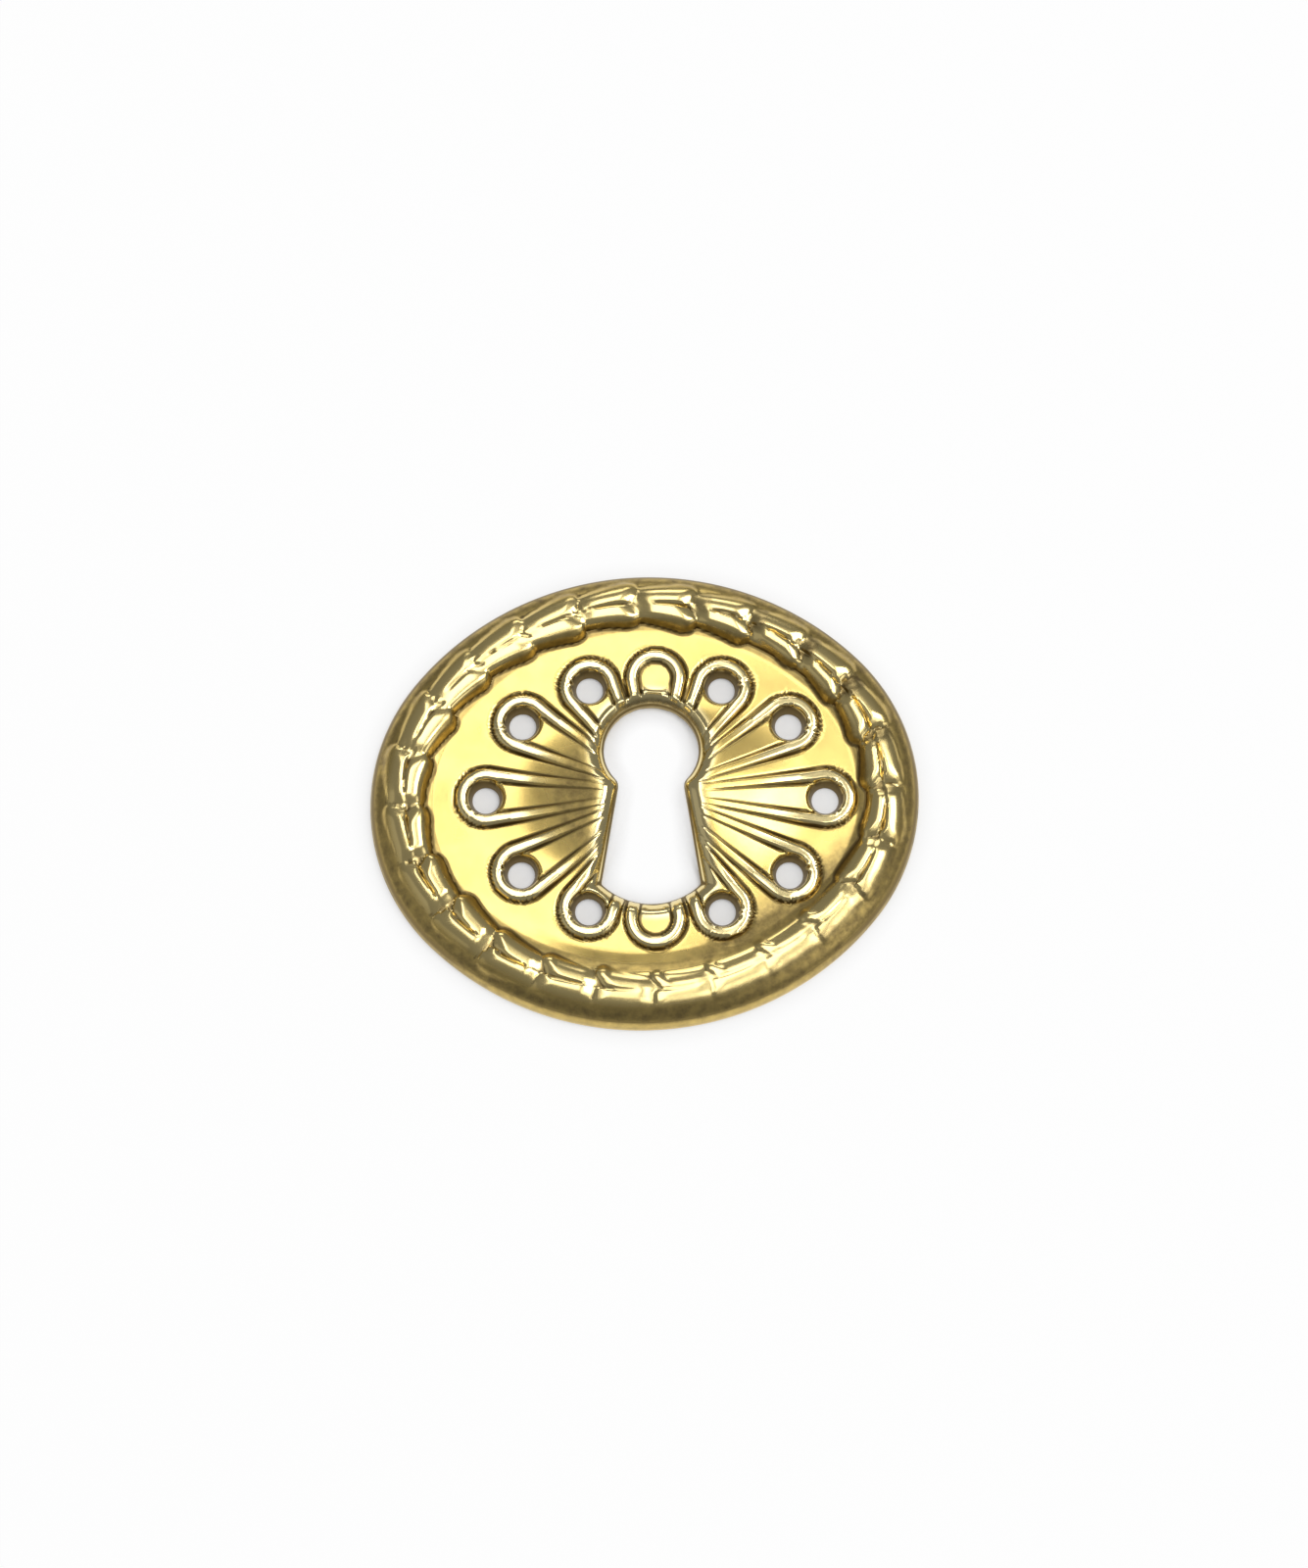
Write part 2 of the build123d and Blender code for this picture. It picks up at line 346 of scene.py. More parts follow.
@dataclass(frozen=True)
class Wreath:
    """Pairs of plump leaves round the rim, each lying over the root of the next, clockwise."""

    pairs: int = 24
    phase: float = 0.1
    crest_in: float = Rim.crest_in
    length: float = 5.4
    root: float = 0.95
    wide: float = 1.62
    outer: LeafShape = LeafShape(1.3, 0.25, 2.4, 0.62)
    inner: LeafShape = LeafShape(0.95, 0.75, 4.2, 0.85, 2.6, -2.3, -0.2)
    widening: tuple[float, float, float, float] = (0.14, -0.08, -0.12, -0.04)
    point: float = 1.1
    nose: float = 1.0
    drop: float = 0.27
    drop_fade: Range = (0.4, 0.65)
    tall: float = 0.47
    slope: float = 0.02
    sink: float = 0.45
    sink_back: Range = (3.1, 4.3)
    sink_fade: Range = (0.95, 0.7)
    fall: float = 0.08
    fall_w: float = 1.5
    groove: float = 0.26
    groove_w: float = 0.15
    groove_wedge: Range = (1.3, 0.3)
    groove_back: Span = ((0.7, 1.0), (2.8, 3.5))
    groove_fade: Range = (0.7, 0.6)
    crease: float = 0.03
    berry_r: float = 0.26
    berry_back: float = 0.12
    berry_out: float = 0.06
    berry_base: float = 0.1
    berry_h: float = 0.3
    moat: float = 0.12
    moat_at: float = 1.25
    moat_w: float = 0.2
    uneven: float = 0.09
    stray: float = 0.12
    stray_waves: Span = ((7.0, 0.6), (3.0, 2.0))
    fillet: Sector = Sector(-82.0, 0.7, 0.5, 4)
    fillet_in: Range = (3.7, 5.3)
    foot_soft: float = 0.08
    ahead: Sector = Sector(42.0, 0.7, 0.7)
    worn: Sector = Sector(125.0, 1.05)
    weak: Sector = Sector(-72.0, 0.75)
    weak_low: float = 0.7
    weak_edge: float = 1.45

    def behind(self, oval: Oval, angle: Array) -> tuple[Array, Array, float]:
        """Distance of each point behind the tip of the pair it lies on, that pair's number, and the pitch.

        Args:
            oval: The outline that the wreath follows.
            angle: Direction of the outline's normal at each point.

        Returns:
            The distances, the numbers, and the pitch in millimetres.
        """
        pitch = oval.lengths(self.crest_in)[1][-1] / self.pairs
        turn = np.mod(0.25 - oval.run(angle, self.crest_in), 1.0) * self.pairs - self.phase
        return np.mod(-turn, 1.0) * pitch, np.mod(np.ceil(turn), self.pairs), pitch

    def widen(self, angle: Array) -> Array:
        """How much wider the inner leaves are by direction: least at the right, most below the keyhole."""
        even, across, along, both = self.widening
        return even + across * np.cos(angle) + along * np.sin(angle) + both * np.cos(2 * angle)

    def leaf(
        self, back: Array, out: Array, pair: Array, side: Side, worn: Array, weak: Array, more: Array
    ) -> tuple[Array, Array]:
        """Height of one leaf over the rim along its back, and how far its section has fallen from there.

        The edge swings out from the root, is widest near the tip and closes on it. The end is cut nearly
        straight, the back rounds down to it, and a wedge-shaped groove between the pair stops short of it.

        Args:
            back: Distance behind the tip.
            out: Distance outward from the crest line.
            pair: Number of the pair.
            side: Which leaf of the pair.
            worn: How far rubbing has flattened it, from 0 to 1.
            weak: How weakly it was struck, from 0 to 1.
            more: Added width.

        Returns:
            The heights, and the section from 1 on the crest line to nil at the leaf's edge and past it.
        """
        shape = self.outer if side is Side.OUTER else self.inner
        swell = 1.0 + self.uneven * np.sin(1.7 * pair + 0.8 * side.value)
        w = np.maximum(side.value * out, 0.0)
        wide = self.wide * swell
        stem = np.clip((back - self.point) / (self.length - self.point), 0.0, 1.0)
        close = np.clip(1.0 - back / self.point, 0.0, 1.0)
        edge = wide + (self.root - wide) * stem**0.85
        edge = edge + (shape.tip - wide) * (1.0 - np.sqrt(1.0 - close**2))
        edge = edge + 0.85 * weak * (self.weak_edge - edge) + more
        cut = shape.notch * swell * np.clip(1.0 - w / shape.tip, 0.0, 1.0)
        sink = self.sink * left(self.sink_fade, worn, weak) * rise(back, *self.sink_back)
        sink = sink + self.slope * np.clip(back - self.nose, 0.0, None)
        bend = np.clip(1.0 - (back - cut) / self.nose, 0.0, 1.0)
        drop = self.drop * left(self.drop_fade, worn, weak) * bend**1.4
        broad, narrowing = self.groove_wedge
        groove = self.groove * left(self.groove_fade, worn, weak) * between(back, self.groove_back)
        groove = groove * bell(w, self.groove_w * (broad - narrowing * back))
        tall = self.tall * swell - sink - drop - groove
        power = shape.power + shape.power_worn * worn + shape.power_weak * weak
        power = power + 3.0 * rise(bend, 0.0, 0.6)
        section = np.clip(1.0 - (w / np.maximum(edge, 0.05)) ** power, 0.0, 1.0)
        section = section ** (shape.full + shape.full_worn * worn)
        here = (side.value * out >= 0.0) & (back < self.length) & (back > cut)
        return np.where(here, tall, 0.0), np.where(here, section, 0.0)

    def cover(self, oval: Oval, rim: Rim, angle: Array, inset: Array) -> Array:
        """Height that the wreath adds to the bare rim: the highest of the leaves and berries at each point.

        An outer leaf fades into the rim's wall, and an inner leaf falls to the field by a wall of its own.
        At the upper right the inner leaf of each pair runs on past the outer one, and below the keyhole
        the field climbs to the leaves in a low fillet.

        Args:
            oval: The outline that the wreath follows.
            rim: The bare rim.
            angle: Direction of the outline's normal.
            inset: Distance in from the outline.

        Returns:
            The heights added.
        """
        back, pair, pitch = self.behind(oval, angle)
        bare = rim.face(inset)
        (fast, fast_at), (slow, slow_at) = self.stray_waves
        stray = self.stray * np.sin(fast * angle + fast_at) * np.sin(slow * angle + slow_at)
        out = self.crest_in - inset + stray
        worn, weak, ahead = self.worn.share(angle), self.weak.share(angle), self.ahead.share(angle)
        struck = 1.0 - self.weak_low * weak
        crest = rim.crest - self.fall * (out / self.fall_w) ** 2
        start, end = self.fillet_in
        floor = rim.field + self.fillet.share(angle) * np.clip((end - inset) / (end - start), 0.0, 1.0)
        more, none = self.widen(angle), np.zeros_like(angle)
        layers = []
        for step in (-1, 0, 1):
            behind, number = back + step * pitch, pair + step
            tall, section = self.leaf(behind, out, number, Side.OUTER, worn, weak, none)
            outer = bare + tall * struck * section
            tall, section = self.leaf(behind + ahead, out, number, Side.INNER, worn, weak, more)
            inner = over(rim.field + (crest - rim.field + tall * struck) * section, floor, self.foot_soft)
            inner = np.maximum(inner - self.foot_soft / 4, bare)
            layers.append(np.where(out >= 0.0, outer, inner))
        leaves = over(over(layers[0], layers[1], self.crease), layers[2], self.crease)
        away = np.hypot(back - self.berry_back, out - self.berry_out) / self.berry_r
        ball = bare + worn * (self.berry_base + self.berry_h * np.sqrt(np.maximum(1.0 - away**2, 0.0)))
        leaves = leaves - self.moat * worn * bell(away - self.moat_at, self.moat_w)
        return np.where(away < 1.0, over(leaves, ball, self.crease), leaves) - bare


@dataclass(frozen=True)
class Rosette:
    """Petals round the keyhole: beads bent round the pin holes, with legs that rise as flutes."""

    middle: float = 0.75
    petals: int = 12
    half_x: float = 11.75
    half_y: float = 8.65
    bend_r: float = 1.64
    band_out: float = 0.45
    band_in: float = 0.42
    band_h: float = 0.21
    flute_end: float = 1.8
    taper: float = 0.45
    fade: Range = (0.66, 0.9)
    groove: float = 0.12
    groove_w: float = 0.1
    groove_off: float = 0.07
    pin_r: float = 1.05
    pin_back_r: float = 0.93
    funnel: float = 0.34
    funnel_deep: float = 0.5
    dome_x: float = 9.2
    dome_y: float = 7.0
    dome_h: float = 1.1
    dome_top: float = 0.2
    dome_more: float = 1.5

    def places(self) -> list[tuple[float, float, bool]]:
        """Places the petals on an ellipse; those over and under the keyhole have no pin hole.

        Returns:
            Each petal's direction and distance from the middle, and whether a pin hole goes through it.
        """
        angles = 2 * np.pi * np.arange(self.petals) / self.petals
        reaches = oval_reach(self.half_x, self.half_y, angles)
        return [(float(a), float(r), abs(np.cos(a)) > 0.1) for a, r in zip(angles, reaches)]

    def pins(self) -> list[tuple[float, float]]:
        """Middles of the pin holes."""
        found = [(a, r) for a, r, pierced in self.places() if pierced]
        return [(self.middle + r * np.cos(a), r * np.sin(a)) for a, r in found]

    def dome(self, x: Array, y: Array) -> Array:
        """Height of the dome over the field: it steepens from its foot to the keyhole.

        The press drew it further out to the right than to the left.

        Args:
            x: Across the keyhole.
            y: Along the keyhole.

        Returns:
            The heights.
        """
        u = x - self.middle
        r, angle = np.hypot(u, y), np.arctan2(y, u)
        drawn = self.dome_more * np.clip(np.cos(angle), 0.0, 1.0) ** 3
        reach = oval_reach(self.dome_x, self.dome_y, angle) + drawn
        q = (1.0 - r / reach) / (1.0 - self.dome_top)
        q = (q + np.sqrt(q**2 + 0.012)) / 2
        return self.dome_h * np.clip(q, 0.0, 1.0) ** 1.08

    def relief(self, x: Array, y: Array, soft: float = 1.0) -> Array:
        """Height of the petals over the dome: the bands, less their grooves and the funnels at the pins."""
        bands, grooves, funnels = self.forms(x, y, soft)
        return self.band_h * bands - self.groove * grooves - self.funnel_deep * funnels

    def forms(self, x: Array, y: Array, soft: float = 1.0) -> tuple[Array, Array, Array]:
        """Shares from 0 to 1 of the bands, the grooves and the funnels.

        The distance from a band's middle line is that to its circle past the tangent points, and to the
        straight leg before them. The legs taper and fade out before the keyhole's lip.

        Args:
            x: Across the keyhole.
            y: Along the keyhole.
            soft: Widening of the relief, for the back of the sheet.

        Returns:
            The three shares at each point.
        """
        u = x - self.middle
        r, angle = np.hypot(u, y), np.arctan2(y, u)
        bands, grooves, funnels = np.zeros_like(r), np.zeros_like(r), np.zeros_like(r)
        for way, reach, pierced in self.places():
            off = np.abs(np.mod(angle - way + np.pi, 2 * np.pi) - np.pi)
            lean = np.arcsin(self.bend_r / reach)
            along, beside = r * np.cos(off - lean), r * np.sin(off - lean)
            tangent = reach * np.cos(lean)
            span = np.hypot(u - reach * np.cos(way), y - reach * np.sin(way))
            gap = np.where(along < tangent, beside, span - self.bend_r)
            share = np.clip((tangent - along) / (tangent - self.flute_end), 0.0, 1.0)
            size = (1.0 + (self.taper - 1.0) * share) * soft
            sunk = (1.0 - 0.6 * rise(share, 0.05, 0.6)) * (1.0 - rise(share, *self.fade))
            high = np.where(off < np.pi / 2, size * sunk, 0.0)
            q = gap / (np.where(gap > 0, self.band_out, self.band_in) * size)
            band = np.clip(1.0 - np.abs(q) ** 4.5, 0.0, 1.0) ** 0.7
            bands = np.maximum(bands, high * band)
            outer = bell(gap / size - self.band_out - self.groove_off, self.groove_w)
            inner = bell(gap / size + self.band_in + self.groove_off, self.groove_w)
            inner = 0.8 * inner * rise(share, 0.02, 0.14)
            grooves = np.maximum(grooves, high * np.maximum(outer, inner))
            deep = 1.0 if pierced else 0.12
            fall = np.clip(1.0 - (span - self.pin_r) / self.funnel, 0.0, 1.0) ** 1.6
            funnels = np.maximum(funnels, deep * fall)
        return bands, grooves, funnels


@dataclass(frozen=True)
class Crease:
    """Fine ridge that the press left in the field low on the right, the blister at its end, and a droop."""

    y: float = -10.5
    w: float = 0.09
    h: float = 0.035
    ends: Span = ((5.3, 5.9), (7.8, 8.1))
    blister: Range = (9.0, -10.7)
    blister_r: float = 0.3
    blister_h: float = 0.08
    way: Range = (0.6, -0.8)
    droop: float = 0.02
    droop_from: float = 9.6
    droop_soft: float = 1.0

    def toward(self, x: Array, y: Array) -> Array:
        """Distance of each point from the middle toward the lower right."""
        return self.way[0] * x + self.way[1] * y

    def height(self, x: Array, y: Array) -> Array:
        """Height that the ridge, the blister and the droop beyond them add.

        Args:
            x: Across the keyhole.
            y: Along the keyhole.

        Returns:
            The heights added.
        """
        line = self.h * bell(y - self.y, self.w) * between(x, self.ends)
        away = np.hypot(x - self.blister[0], y - self.blister[1])
        beyond = over(self.toward(x, y) - self.droop_from, np.zeros_like(x), self.droop_soft)
        return line + self.blister_h * bell(away, self.blister_r) - self.droop * beyond


@dataclass(frozen=True)
class Sheet:
    """The pressed sheet as two heights over the plan: its face and its back."""

    oval: Oval = Oval()
    rim: Rim = Rim()
    wreath: Wreath = Wreath()
    rosette: Rosette = Rosette()
    keyhole: Keyhole = Keyhole()
    crease: Crease = Crease()
    thick: float = 0.46
    thick_in: Range = (0.0, 0.8)
    wreath_in: Range = (0.25, 0.9)
    field_in: Range = (3.6, 4.4)
    petals_out: Range = (0.3, 0.85)
    foot_gap: float = 0.5
    foot_down: Range = (5.6, 7.0)
    waver: float = 0.012
    waves: tuple[tuple[float, float, float], ...] = (
        (0.83, 0.31, 0.7), (-0.27, 0.9, 2.1), (1.21, -0.64, 4.0), (0.57, 1.27, 1.3)
    )
    crown: float = 0.16
    crown_r: float = 12.0
    top: float = 2.23
    top_soft: float = 0.06
    echo: float = 0.45
    echo_in: Range = (1.2, 2.0)

    def uneven(self, x: Array, y: Array) -> Array:
        """Slow waver that a pressing leaves in a thin sheet: a few crossed sine waves of 5 to 9 mm."""
        a, b, c, d = [np.sin(across * x + along * y + start) for across, along, start in self.waves]
        return self.waver * (a * b + (c + d) / 2)

    def face(self, x: Array, y: Array) -> Array:
        """Height of the face: rim, wreath, dome and petals, with the keyhole's edge rolled down.

        Args:
            x: Across the keyhole.
            y: Along the keyhole.

        Returns:
            The heights.
        """
        angle, inset = self.oval.locate(x, y)
        inset = np.maximum(inset, 0.0)
        leaves = self.wreath.cover(self.oval, self.rim, angle, inset) * rise(inset, *self.wreath_in)
        gap = self.keyhole.gap(x, y) + self.foot_gap * rise(-y, *self.foot_down)
        petals = self.rosette.relief(x, y) * rise(gap, *self.petals_out)
        bulge = self.crown * (0.6 - (x**2 + y**2) / self.crown_r**2)
        inner = self.rosette.dome(x, y) + petals + self.uneven(x, y) + bulge + self.crease.height(x, y)
        z = self.rim.face(inset) + leaves + inner * rise(inset, *self.field_in) + self.keyhole.lip(x, y)
        return -over(-z, np.full_like(z, -self.top), self.top_soft)

    def back(self, x: Array, y: Array) -> Array:
        """Height of the back: the main forms, with a weak and softened echo of the ornament.

        Args:
            x: Across the keyhole.
            y: Along the keyhole.

        Returns:
            The heights, always under the face.
        """
        angle, inset = self.oval.locate(x, y)
        inset = np.maximum(inset, 0.0)
        leaves = self.wreath.cover(self.oval, self.rim, angle, inset) * rise(inset, *self.echo_in)
        inner = self.rosette.dome(x, y) + 0.5 * self.rosette.relief(x, y, 1.15)
        z = self.rim.back(inset) + self.echo * leaves + inner * rise(inset, *self.field_in)
        limit = self.face(x, y) - self.thick * rise(inset, *self.thick_in)
        return np.maximum(np.minimum(z + self.keyhole.lip(x, y), limit), 0.0)


@dataclass(frozen=True)
class Wear:
    """Where the plate is polished and tarnished, and where its colour is painted lighter or darker as
    painted highlight and painted shade, worked out from its shape.
    """

    sheet: Sheet = Sheet()
    skin: float = 0.02
    outline: float = 0.05
    probes: int = 8
    probe_away: float = 0.27
    probe_deep: float = 0.055
    even_in: float = 4.7
    # Where rubbing polishes leaves and lip, which are also painted paler as a painted highlight.
    rub_and_highlight_in: Span = ((1.0, 1.6), (3.3, 3.9))
    rub_and_highlight_lip: Range = (0.9, 1.5)
    # Places where the colour takes painted shade, standing in for shade and dark reflections.
    wall_in: Range = (0.6, 1.7)
    wall_more: Sector = Sector(310.0, 0.5, 0.8)
    flank_up: Range = (0.12, 0.4)
    foot_in: Span = ((3.2, 3.6), (4.0, 4.2))
    root: Sector = Sector(40.1, 0.8, 1.2)
    root_back: Range = (2.7, 3.1)
    root_in: Span = ((0.6, 1.2), (2.5, 3.0))
    lip_out: Range = (0.3, 0.55)
    lip_y: Range = (4.4, 5.6)
    patch_from: Range = (9.4, 11.6)
    patch_in: Range = (3.6, 4.2)
    # Painted shade along the outline, left off along its bottom, which reflects the pale floor.
    edge_shade_in: Range = (0.1, 0.8)
    lit_edge_in: Range = (0.1, 0.3)

    def polish_and_highlight(self, x: Array, y: Array) -> Array:
        """How far handling has polished each point, and so how far it is painted paler as a painted
        highlight, from 0 in the field to 1 on leaves, bands and lip.

        Args:
            x: Across the keyhole.
            y: Along the keyhole.

        Returns:
            The shares.
        """
        leaves = 0.6 * between(self.sheet.oval.locate(x, y)[1], self.rub_and_highlight_in)
        lip = 1.0 - rise(self.sheet.keyhole.gap(x, y), *self.rub_and_highlight_lip)
        bands = rise(self.sheet.rosette.forms(x, y)[0], 0.3, 0.8)
        return np.maximum(np.maximum(leaves, lip), bands)

    def hollow(self, x: Array, y: Array) -> Array:
        """How far each point lies below the mean of the points round it, as a share of probe_deep.

        Args:
            x: Across the keyhole.
            y: Along the keyhole.

        Returns:
            Shares from -1, proud, to 1, sunk.
        """
        ways = 2 * np.pi * np.arange(self.probes) / self.probes
        steps = self.probe_away * np.stack([np.cos(ways), np.sin(ways)], axis=-1)
        ring = [self.sheet.face(x + dx, y + dy) for dx, dy in steps]
        return np.clip((np.mean(ring, axis=0) - self.sheet.face(x, y)) / self.probe_deep, -1.0, 1.0)

    def tarnish_and_shade(self, x: Array, y: Array, polish_and_highlight: Array, bare: Array) -> Array:
        """How much painted shade each point takes: the most of the painted shades that stand in for shade
        and dark reflections there.

        These are the outer wall, the dome's left flank, the foot of the inner leaves, the roots of the
        leaves at the upper right, the top of the keyhole's edge, and a patch of the field low on the right.

        Args:
            x: Across the keyhole.
            y: Along the keyhole.
            polish_and_highlight: How far each point is polished.
            bare: How far the painted shade is left off along the bottom of the outline.

        Returns:
            The share of painted shade, from 0 to about 1.
        """
        sheet, rosette = self.sheet, self.sheet.rosette
        angle, inset = sheet.oval.locate(x, y)
        u = x - rosette.middle
        flank = rise(-u / np.hypot(u, y), 0.3, 0.8) * rise(rosette.dome(x, y), *self.flank_up)
        root = rise(sheet.wreath.behind(sheet.oval, angle)[0], *self.root_back)
        # Painted shade for shade and dark reflections: outer wall, dome's left flank where unpolished, foot
        # of the inner leaves, roots at the upper right, top of the keyhole's edge.
        shade_shares = [
            1.0 - rise(inset - self.wall_more.share(angle), *self.wall_in),
            flank * (1.0 - polish_and_highlight),
            0.8 * between(inset - sheet.wreath.widen(angle), self.foot_in),
            self.root.share(angle) * root * between(inset, self.root_in),
            (1.0 - rise(sheet.keyhole.gap(x, y), *self.lip_out)) * rise(y, *self.lip_y),
        ]
        # Painted shade on a patch of the field low on the right, standing in for a dark reflection.
        patch = rise(sheet.crease.toward(x, y), *self.patch_from) * rise(inset, *self.patch_in)
        return np.maximum(np.max(shade_shares, axis=0) * (1.0 - 0.5 * bare), patch * (1.0 - polish_and_highlight))

    def values(self, points: Array, quads: Array) -> dict[str, Array]:
        """Works out the point values that the brass reads.

        On the rim the hollows are evened out over the faces that meet at a point.

        Args:
            points: The mesh's points in millimetres.
            quads: The numbers of each face's corners.

        Returns:
            The values by name.
        """
        x, y, z = points.T
        angle, inset = self.sheet.oval.locate(x, y)
        on_face, inside = z > self.sheet.face(x, y) - self.skin, inset > self.outline
        polish_and_highlight = np.where(on_face, self.polish_and_highlight(x, y), 0.0)
        # Points off the face, on the back and the walls, take a little of the tarnish colour as painted
        # shade.
        hollow = np.where(on_face, self.hollow(x, y), 0.3)
        mean = np.repeat(hollow[quads].mean(axis=1), 4)
        even = np.bincount(quads.ravel(), weights=mean) / np.bincount(quads.ravel())
        hollow = np.where(inset < self.even_in, even, hollow)
        # Along the bottom of the outline the edge reflects the pale floor, so the painted shade is left off
        # there.
        bare = rise(-np.sin(angle), 0.7, 0.95) * (1.0 - rise(inset, *self.lit_edge_in))
        # Painted shade along the outline's edge and down the funnels of the pin holes, added to the
        # hollows.
        edge = 0.8 * (1.0 - rise(inset, *self.edge_shade_in)) * inside
        edge_and_funnel_shade = np.maximum(edge, self.sheet.rosette.forms(x, y)[2]) * (1.0 - bare)
        takes_shade = on_face | (edge_and_funnel_shade > 0.5)
        hollow = np.where(takes_shade, np.maximum(hollow, 0.9 * edge_and_funnel_shade), hollow) * (1.0 - bare)
        # Painted shade on the face, and half of it on the back and on the walls of the keyhole and the pin
        # holes.
        shade_share = 0.75 * self.tarnish_and_shade(x, y, polish_and_highlight, bare)
        painted_shade = np.where(on_face, shade_share, np.where(inside, 0.5, 0.0))
        return {"hollow": hollow, "painted_shade": painted_shade, "polish_and_highlight": polish_and_highlight}


@dataclass
class MeshParts:
    """Points and faces gathered for one mesh."""

    points: list[Array] = field(default_factory=list)
    quads: list[Array] = field(default_factory=list)
    count: int = 0

    def add(self, points: Array) -> Array:
        """Takes points in.

        Args:
            points: The points, with x, y and z in the last axis.

        Returns:
            Their numbers, in the same layout.
        """
        flat = points.reshape(-1, 3)
        numbers = np.arange(self.count, self.count + len(flat)).reshape(points.shape[:-1])
        self.points.append(flat)
        self.count += len(flat)
        return numbers

    def face(self, a: Array, b: Array, c: Array, d: Array) -> None:
        """Takes in quads by the numbers of their corners."""
        self.quads.append(np.stack([a, b, c, d], axis=-1).reshape(-1, 4))


def srgb(code: str) -> tuple[float, float, float, float]:
    """Linear colour of an sRGB hex value.

    Args:
        code: Six hex digits after a hash.

    Returns:
        Red, green, blue and alpha.
    """
    v = np.array([int(code[i : i + 2], 16) for i in (1, 3, 5)]) / 255
    linear = np.where(v <= 0.04045, v / 12.92, ((v + 0.055) / 1.055) ** 2.4)
    return (*[float(c) for c in linear], 1.0)


def node(tree: Tree, kind: str, settings: dict | None = None, **inputs: Value) -> bpy.types.Node:
    """Adds a node with its settings, its input values and its links.

    Args:
        tree: The node tree.
        kind: The node's type.
        settings: Properties of the node by name.
        **inputs: Values or output sockets by input name, with spaces as underscores, or i0, i1 by number.

    Returns:
        The new node.
    """
    made = tree.nodes.new(kind)
    for name, value in (settings or {}).items():
        setattr(made, name, value)
    for name, value in inputs.items():
        numbered = name[0] == "i" and name[1:].isdigit()
        socket = made.inputs[int(name[1:]) if numbered else name.replace("_", " ")]
        if isinstance(value, Socket):
            tree.links.new(value, socket)
        else:
            socket.default_value = value
    return made


def combine(tree: Tree, operation: str, *values: Value) -> Socket:
    """Adds a sum of numbers by one operation and gives its output."""
    inputs = {f"i{number}": value for number, value in enumerate(values)}
    return node(tree, "ShaderNodeMath", {"operation": operation}, **inputs).outputs[0]


def mix(tree: Tree, share: Socket, first: Value, second: Value) -> Socket:
    """Adds a mix of two colours by a share of the second and gives its output."""
    return node(tree, "ShaderNodeMix", {"data_type": "RGBA"}, i0=share, i6=first, i7=second).outputs[2]


def noise(tree: Tree, place: Socket, size: float, detail: float, rough: float = 0.5) -> Socket:
    """Adds clouds of a size in millimetres and gives their strength."""
    inputs = {"Vector": place, "Scale": 1 / (size * MM), "Detail": detail, "Roughness": rough}
    return node(tree, "ShaderNodeTexNoise", **inputs).outputs["Fac"]


def remap(tree: Tree, value: Socket, old: Range, new: Range, kind: str = "LINEAR") -> Socket:
    """Adds a map of a value from one range to another and gives its output."""
    ends = {"From_Min": old[0], "From_Max": old[1], "To_Min": new[0], "To_Max": new[1]}
    return node(tree, "ShaderNodeMapRange", {"interpolation_type": kind}, Value=value, **ends).outputs[0]


